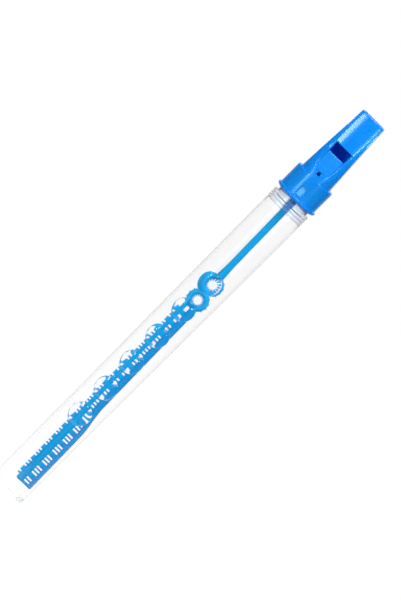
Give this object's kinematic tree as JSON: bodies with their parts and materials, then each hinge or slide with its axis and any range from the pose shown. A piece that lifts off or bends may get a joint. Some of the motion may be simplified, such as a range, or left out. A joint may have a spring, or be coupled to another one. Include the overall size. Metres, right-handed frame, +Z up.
{
  "type": "bubble whistle",
  "caption": "Slim clear bubble tube with moulded lens bubbles, closed by a push-on blue whistle cap that carries a ribbed dipping wand with hoops.",
  "frame": {"origin": "centre of the tube's base, on the surface that it stands on", "axes": "+Z up the tube's axis to the mouthpiece, -Y out of the whistle's window and the lens bubbles, +X to the smooth edge of the wand"},
  "size_m": [0.0296, 0.0296, 0.3117],
  "materials": {
    "clear_plastic": "clear polished",
    "milky_seal": "soft milky",
    "blue_plastic": "glossy moulded",
    "plug_blue": "glossy moulded",
    "holder_blue": "glossy moulded",
    "wand_blue": "glossy moulded"
  },
  "bodies": {
    "tube": {"tube": "clear_plastic"},
    "seal": {"seal_sleeve": "milky_seal"},
    "whistle": {"whistle_cap": "blue_plastic", "fipple_plug": "plug_blue", "wand_holder": "holder_blue", "wand": "wand_blue"}
  },
  "joints": [
    {"name": "draw_out", "type": "slide", "parent": "tube", "child": "seal", "axis": [0, 0, 1], "range_m": [0, 0.255]},
    {"name": "cap_twist", "type": "hinge", "parent": "seal", "child": "whistle", "pos_m": [0, 0, 0.2569], "axis": [0, 0, 1], "continuous": true}
  ]
}
